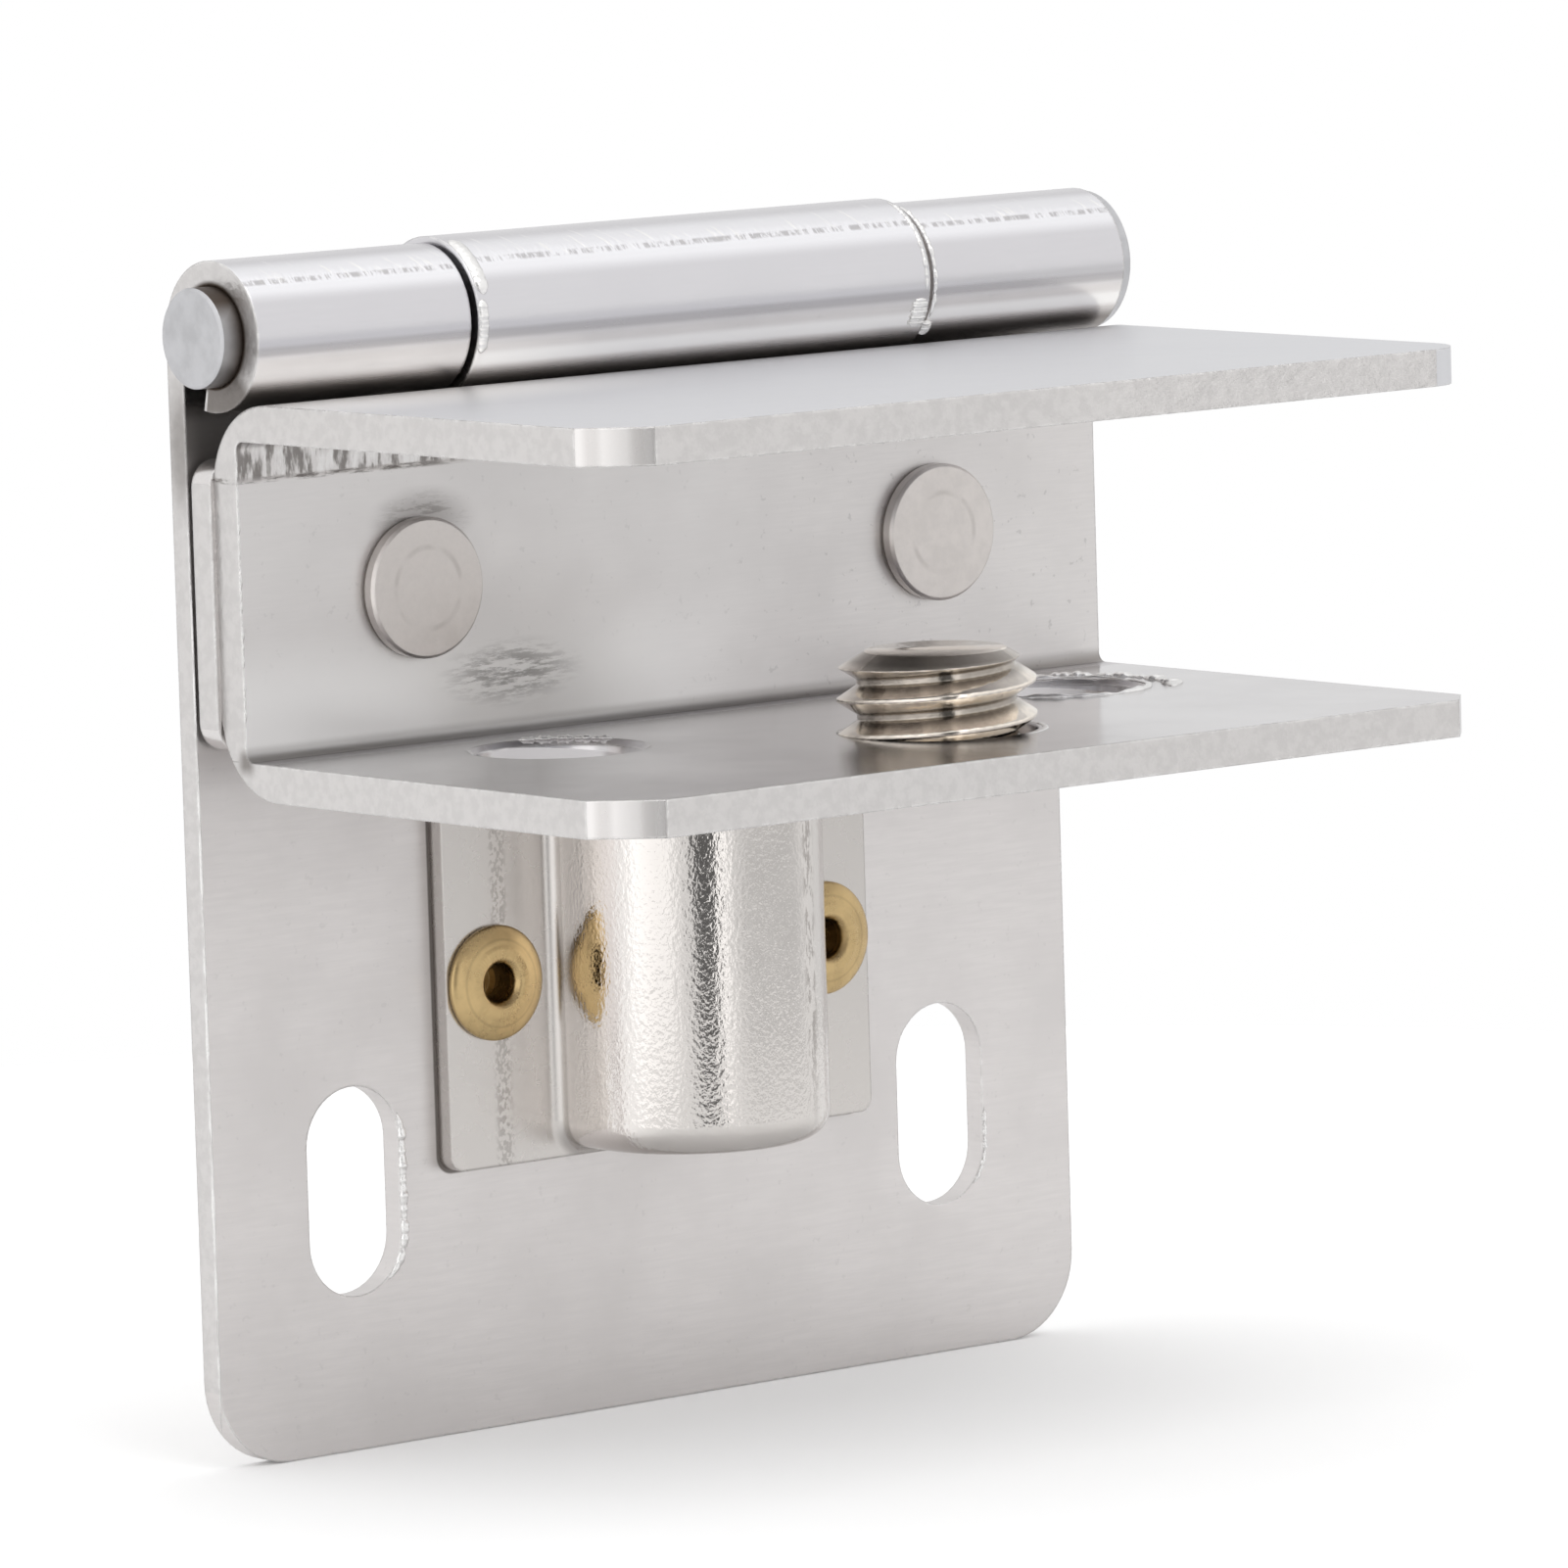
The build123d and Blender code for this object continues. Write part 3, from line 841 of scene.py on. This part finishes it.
def threaded_screw(material):
    """Grub screw as one closed surface.

    The wall's radius falls from the crest by a trapezium wave of height over pitch less angle over a
    turn, and is held under the cone of the tip and the chamfer of the foot. Rows at the ends close the
    flat tip and sink the hexagon socket, whose radius is the half width across flats over the cosine of
    the angle from the middle of its side.
    """
    low, high = (np.array(corner) for corner in screw_box)
    crest = (high[0] - low[0]) / 2
    columns = 144
    angle = np.linspace(0, 2 * math.pi, columns, endpoint=False)
    height = np.linspace(low[2], high[2], 161)[:, None] + 0 * angle[None, :]
    turn = (height - low[2]) / thread_pitch - angle[None, :] / (2 * math.pi) + thread_start
    from_crest = np.abs(turn - np.round(turn)) * 2
    slope = (from_crest - thread_crest_share) / (1 - thread_crest_share - thread_root_share)
    wall = crest - thread_depth * np.clip(slope, 0, 1)
    tip_cone = tip_radius + (high[2] - height) * (crest - tip_radius) / tip_height
    foot_cone = crest - end_chamfer + (height - low[2])
    wall = np.minimum(wall, np.minimum(tip_cone, foot_cone))
    from_side = (angle + math.pi / 6) % (math.pi / 3) - math.pi / 6
    socket = np.broadcast_to(socket_across_flats / 2 / np.cos(from_side), (1, columns))
    nothing = np.zeros((1, columns))
    floor = nothing + low[2] + socket_depth
    foot = nothing + low[2]
    top = nothing + high[2]
    radius = np.concatenate([nothing, socket, socket, wall, nothing])
    level = np.concatenate([floor, floor, foot, height, top])
    points = np.empty((*radius.shape, 3))
    points[..., 0] = screw_axis[0] + radius * np.cos(angle)
    points[..., 1] = screw_axis[1] + radius * np.sin(angle)
    points[..., 2] = level
    return surface_piece("threaded_grub_screw", points, material)


def ragged(along, seed, unevenness):
    """Uneven height along a burr: one plus the unevenness times three sines, at least a tenth."""
    phases = np.random.default_rng(seed).uniform(0, 2 * math.pi, 3)
    waves = sum(share * np.sin(turns * 2 * math.pi * along + phase)
                for share, turns, phase in zip((0.40, 0.33, 0.27), (5, 11, 23), phases))
    return np.maximum(1 + unevenness * waves, 0.1)


def burr(name, line, outward, width, height, seed, unevenness=0.75):
    """Ragged ridge of torn metal along a line that lies on a surface.

    Round the line the section is an ellipse of the given width across and height outward, sunk by a
    fifth of its height; both swell and shrink along the line, and they taper at its ends.
    """
    along = np.linspace(0, 1, len(line))
    step = np.gradient(line, axis=0)
    step = step / np.linalg.norm(step, axis=1, keepdims=True)
    across = np.cross(step, outward)
    swell = ragged(along, seed, unevenness)
    taper = np.sqrt(np.clip(np.minimum(along, 1 - along) * 8, 0, 1))
    angle = np.linspace(0, 2 * math.pi, 10, endpoint=False)
    side = np.outer(width / 2 * taper * np.sqrt(swell), np.cos(angle))
    rise = np.outer(height * taper * swell, np.where(np.sin(angle) > 0, np.sin(angle), np.sin(angle) / 5))
    points = line[:, None] + side[..., None] * across[:, None] + rise[..., None] * outward[:, None]
    return surface_piece(name, points, burr_finish, smooth_angle=60)


def seam_burr(name, x, radius, first, last, width, height, seed, unevenness=0.75):
    """Burr on a knuckle's end: an arc round the pin from one angle to another."""
    angle = np.radians(np.linspace(first, last, 90))
    outward = np.stack([0 * angle, -np.cos(angle), np.sin(angle)], axis=1)
    line = outward * radius + np.array([x, *pin_axis])
    return burr(name, line, outward, width, height, seed, unevenness)


def hole_burr(name, centre, radius, first, last, width, height, seed, unevenness=0.75):
    """Burr thrown up round a hole in the lower flange: an arc round its middle between two angles."""
    angle = np.radians(np.linspace(first, last, 120))
    line = np.stack([radius * np.cos(angle), radius * np.sin(angle), 0 * angle], axis=1)
    line = line + np.array([*centre, clamp_floor])
    outward = np.broadcast_to(np.array([0.0, 0.0, 1.0]), line.shape)
    return burr(name, line, outward, width, height, seed, unevenness)


def edge_burr(name, start, end, outward, width, height, seed):
    """Burr along a straight edge, in even steps from its start to its end."""
    share = np.linspace(0, 1, 260)[:, None]
    line = np.array(start) * (1 - share) + np.array(end) * share
    facing = np.broadcast_to(np.array(outward) / np.linalg.norm(outward), line.shape)
    return burr(name, line, facing, width, height, seed)


def turned_rivet(side, material):
    """Head and shank of a brass rivet: a profile of radius and height turned about its axis.

    From the lip outward the height is the rim plus the crown's rise times one less a power of the share
    of the way, itself to a power, so it ends steeply; inward it is a quarter of an ellipse down into
    the bore.
    """
    low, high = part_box(f"housing_rivet_{side}")
    centre = ((low[0] + high[0]) / 2, (low[2] + high[2]) / 2)
    rim_radius = (high[0] - low[0]) / 2
    crown = -low[1]
    rim = flange_front + rivet_rim_height
    inward = np.radians(np.linspace(90, 0, 12))
    share = np.linspace(0, 1, 28)[1:]
    lip_radii = rivet_lip_radius - (rivet_lip_radius - rivet_bore_radius) * np.sin(inward)
    lip_heights = crown - rivet_lip_depth * (1 - np.cos(inward))
    crown_radii = rivet_lip_radius + (rim_radius - rivet_lip_radius) * share
    crown_heights = rim + (crown - rim) * (1 - share ** crown_flatness) ** crown_steepness
    tail_radius = rivet_shank_radius + rivet_tail
    back_radii = [rim_radius, rivet_shank_radius, rivet_shank_radius, tail_radius, 0]
    back_heights = [flange_front, flange_front, rivet_tail, 0, 0]
    radius = np.concatenate([[0, rivet_bore_radius], lip_radii, crown_radii, back_radii])
    height = np.concatenate([[rivet_bore_floor, rivet_bore_floor], lip_heights, crown_heights, back_heights])
    angle = np.linspace(0, 2 * math.pi, 96, endpoint=False)
    points = np.empty((len(radius), len(angle), 3))
    points[..., 0] = centre[0] + np.outer(radius, np.cos(angle))
    points[..., 1] = -height[:, None]
    points[..., 2] = centre[1] + np.outer(radius, np.sin(angle))
    return surface_piece(f"turned_rivet_{side}", points, material)


def brass_finish_for(side):
    """Tumbled brass: radial drag marks round the lip, a brown bore, and painted shade under the rim with a
    thin dark ring.
    """
    low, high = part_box(f"housing_rivet_{side}")
    centre = ((low[0] + high[0]) / 2, (low[2] + high[2]) / 2)
    material, tree, shader, place, axes = new_finish(f"rivet_brass_{side}")
    away = distance_from_axis(tree, axes["X"], axes["Z"], centre)
    turn = turn_round_axis(tree, axes["X"], axes["Z"], centre)
    round_axis = {"X": maths(tree, "COSINE", turn), "Y": maths(tree, "SINE", turn)}
    spoke = add_node(tree, "ShaderNodeCombineXYZ", round_axis)
    drag = grain_noise(tree, spoke.outputs[0], (9, 9, 1))
    cloud = grain_noise(tree, place, 900, detail=4.0)
    near_lip = band(tree, away, 0.0012, 0.00015, 0.00025)
    tone = tone_between(tree, ramp(tree, cloud, 0.3, 0.7), scaled(brass, 0.86), scaled(brass, 1.08))
    bore = ramp(tree, away, rivet_bore_radius + 0.00012, rivet_bore_radius - 0.00004, 0.0, 0.22)
    # Painted shade under the rim
    behind_rim = greater(tree, axes["Y"], -flange_front - 0.00008)
    under = both(tree, behind_rim, less(tree, axes["Y"], plate_skin), 0.7)
    line = band(tree, away, 0.00178, 0.00002, 0.00006, 0.16)
    tone = tone_between(tree, either(tree, bore, under, line), tone, grime_and_shade)
    tree.links.new(tone, shader.inputs["Base Color"])
    tree.links.new(ramp(tree, cloud, 0.3, 0.7, *brass_roughness), shader.inputs["Roughness"])
    crumple = both(tree, grain_noise(tree, place, 2600, detail=4.0), bore)
    reliefs = [(both(tree, drag, near_lip), 0.00004), (cloud, 0.000012), (crumple, 0.00025)]
    set_relief(tree, shader, rounded_edges(tree, brass_edge), reliefs)
    return material


def slot_burr(name, middle, first, last, width, height, seed):
    """Burr along the right side of a slot, on the plate's front, from one height to another.

    Its distance from the slot's middle is the half width, and past the straight part that of a circle.
    """
    level = np.linspace(first, last, 80)
    straight = (slot_height - slot_width) / 2
    past = np.clip(np.abs(level) - straight, 0, slot_width / 2 * 0.98)
    reach = np.sqrt((slot_width / 2) ** 2 - past ** 2) + width / 2
    line = np.stack([middle + reach, 0 * level - plate_sheet, level], axis=1)
    outward = np.broadcast_to(np.array([0.0, -1.0, 0.0]), line.shape)
    return burr(name, line, outward, width, height, seed)


def set_floor():
    """White paper under the hinge, a flat disc that keeps its shadow."""
    angle = np.linspace(0, 2 * math.pi, 96, endpoint=False)
    level = frame_box[0][2] - floor_gap
    rim = np.stack([floor_radius * np.cos(angle), floor_radius * np.sin(angle), 0 * angle + level], axis=1)
    mesh = bpy.data.meshes.new("floor")
    mesh.from_pydata(rim, [], [list(range(len(rim)))])
    material, tree, shader, place, _ = new_finish("floor_paper", metallic=0.0)
    fibres = grain_noise(tree, place, 900)
    tree.links.new(tone_between(tree, fibres, paper_white, paper_fibre), shader.inputs["Base Color"])
    shader.inputs["Roughness"].default_value = 0.9
    shader.inputs["Specular IOR Level"].default_value = 0.0
    shader.inputs["Emission Color"].default_value = (1, 1, 1, 1)
    seen = add_node(tree, "ShaderNodeLightPath").outputs["Is Camera Ray"]
    tree.links.new(maths(tree, "MULTIPLY", seen, floor_glow), shader.inputs["Emission Strength"])
    mesh.materials.append(material)
    floor = bpy.data.objects.new("floor", mesh)
    bpy.context.collection.objects.link(floor)


def set_studio():
    """White tent: the light, and what the metal mirrors. The camera sees plain white instead."""
    world = bpy.data.worlds.new("studio")
    bpy.context.scene.world = world
    world.use_nodes = True
    tree = world.node_tree
    tree.nodes.clear()
    output = add_node(tree, "ShaderNodeOutputWorld")
    background = add_node(tree, "ShaderNodeBackground", {"Color": (1, 1, 1, 1)})
    tree.links.new(background.outputs[0], output.inputs[0])
    direction = add_node(tree, "ShaderNodeTexCoord").outputs["Generated"]
    axes = add_node(tree, "ShaderNodeSeparateXYZ", {"Vector": direction}).outputs
    forward = maths(tree, "MULTIPLY", axes["Y"], -1.0)
    bearing = maths(tree, "MULTIPLY", maths(tree, "ARCTAN2", axes["X"], forward), 180 / math.pi)
    height = maths(tree, "MULTIPLY", maths(tree, "ARCSINE", axes["Z"]), 180 / math.pi)
    level = tent_level
    for name, shape in tent_panels.items():
        panel = band(tree, bearing, *shape)
        if name == "gap behind the camera":
            low, high, soft = gap_height
            panel = both(tree, panel, band(tree, height, (low + high) / 2, (high - low) / 2, soft))
        level = maths(tree, "ADD", level, panel)
    table = both(tree, band(tree, height, *table_edge), band(tree, bearing, *table_edge_bearings))
    level = maths(tree, "ADD", level, table)
    level = between(tree, ramp(tree, height, *overhead_rise), level, overhead_level)
    rays = add_node(tree, "ShaderNodeLightPath").outputs
    plain = maths(tree, "MAXIMUM", rays["Is Camera Ray"], rays["Is Transmission Ray"])
    tree.links.new(between(tree, plain, level, 1.0), background.inputs["Strength"])


def add_lamp(name, place, target, size, power):
    """Soft square lamp that faces a point."""
    data = bpy.data.lights.new(name, "AREA")
    data.shape = "SQUARE"
    data.size = size
    data.energy = power
    lamp = bpy.data.objects.new(name, data)
    turn = (Vector(target) - Vector(place)).to_track_quat("-Z", "Y")
    lamp.matrix_world = Matrix.Translation(place) @ turn.to_matrix().to_4x4()
    bpy.context.collection.objects.link(lamp)


set_camera()
set_studio()
set_floor()
add_lamp("top_lamp", lamp_place, lamp_target, lamp_size, lamp_power)

burr_finish = plain_metal("torn_nickel", torn_tint, roughness=0.22, cells=5000, depth=0.00002)
plate_finish = worn_sheet("plate_nickel", plate_brushing, plate_ends, plate_stains_and_shade, plate_shine,
                          knuckle_tone_and_highlights, [(nick_relief, nick_depth)], tint=plate_tint, pit_share=0.15)
leaf_finish = worn_sheet("leaf_nickel", leaf_brushing, leaf_ends, rolling_marks_and_shade, leaf_shine,
                         knuckle_tone_and_highlights, [(nick_relief, nick_depth)], pit_share=0.15)
clamp_reliefs = [(thread_relief, tapped_depth), (root_wrinkles, wrinkle_depth), (corner_roundness, 1.0),
                 (fracture, fracture_depth)]
clamp_finish = worn_sheet("clamp_nickel", clamp_brushing, clamp_ends, clamp_stains_and_shade, clamp_shine,
                          clamp_tone_and_light, clamp_reliefs)
pin_finish = plain_metal("pin_steel", pin_tint, roughness=0.46, cells=1000, depth=0.00003, spread=0.09,
                         marks=pin_shade)
screw_finish = plain_metal("screw_nickel", screw_tint, roughness=0.10, cells=3000, depth=0.000005,
                           marks=screw_root_shade)
ferrite_finish = plain_metal("ferrite", ferrite_tint, roughness=0.6, cells=4000, depth=0.00001)

dress("base_plate", plate_finish)
dress("glass_clamp", clamp_finish)
dress("hinge_leaf", leaf_finish)
dress("hinge_pin", pin_finish)
dress("catch_housing", pressed_nickel())
dress("catch_magnet", ferrite_finish)
for side in ("left", "right"):
    dress(f"clamp_rivet_{side}", rivet_finish_for(side))
    rivet = turned_rivet(side, brass_finish_for(side))
    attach(rivet, "base")
    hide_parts(f"housing_rivet_{side}")

screw = threaded_screw(screw_finish)
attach(screw, "screw")
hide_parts("set_screw")

# Burrs: a place and a radius, or a line's two ends; the first and last angle or height; the width,
# the height, the seed of the unevenness and, on some, how uneven
left_edge = -clamp_half + 0.00004
inner_corner = web_front + 0.00004
rim_radius = tapped_radius + 0.0003
door_burrs = [
    seam_burr("right_seam_flap", seam_place - 0.0004, barrel_radius, -36, -12, 0.0008, 0.00013, 8, 0.5),
    seam_burr("right_seam_rim", seam_place - 0.00012, barrel_radius, -8, 75, 0.00018, 0.00006, 4),
    seam_burr("left_seam_lip", 0.00018 - seam_place, barrel_radius, -24, 15, 0.00050, 0.00009, 5, 0.25),
    seam_burr("left_seam_flap", 0.00034 - seam_place, barrel_radius, 18, 72, 0.00068, 0.00012, 6, 0.12),
    hole_burr("left_hole_burr", tapped_places[0], rim_radius, 14, 78, 0.00045, 0.00009, 7),
    hole_burr("right_hole_burr", tapped_places[1], rim_radius, 0, 360, 0.00030, 0.00012, 11),
    hole_burr("right_hole_chips", tapped_places[1], rim_radius + 0.001, -50, 80, 0.00070, 0.00012, 15, 0.9),
    hole_burr("screw_hole_burr", screw_axis, rim_radius + 0.0006, -75, 60, 0.00026, 0.00004, 12, 0.5),
    edge_burr("clamp_edge_burr", (left_edge, inner_corner, clamp_floor + 0.0003),
              (left_edge, inner_corner, clamp_ceiling - 0.0003), (0.5, -1, 0), 0.00012, 0.00006, 19),
]
for piece in door_burrs:
    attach(piece, "door")
left_corner = (-plate_half + 0.00005, 0.00003 - plate_sheet)
plate_burrs = [
    seam_burr("right_knuckle_rim", seam_place + 0.00054, knuckle_radius, -32, 75, 0.00022, 0.00008, 23),
    seam_burr("right_seam_chip", seam_place + 0.00040, knuckle_radius, -46, -34, 0.00060, 0.00018, 27),
    slot_burr("left_slot_burr", -slot_spacing / 2, -0.0038, 0.0030, 0.00034, 0.00012, 13),
    slot_burr("right_slot_burr", slot_spacing / 2, -0.0036, -0.0004, 0.00020, 0.00007, 17),
    edge_burr("plate_edge_burr", (*left_corner, -0.009), (*left_corner, 0.028), (-1, -1, 0), 0.00012,
              0.00005, 29),
]
for piece in plate_burrs:
    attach(piece, "base")

bpy.context.scene.view_settings.view_transform = "Standard"

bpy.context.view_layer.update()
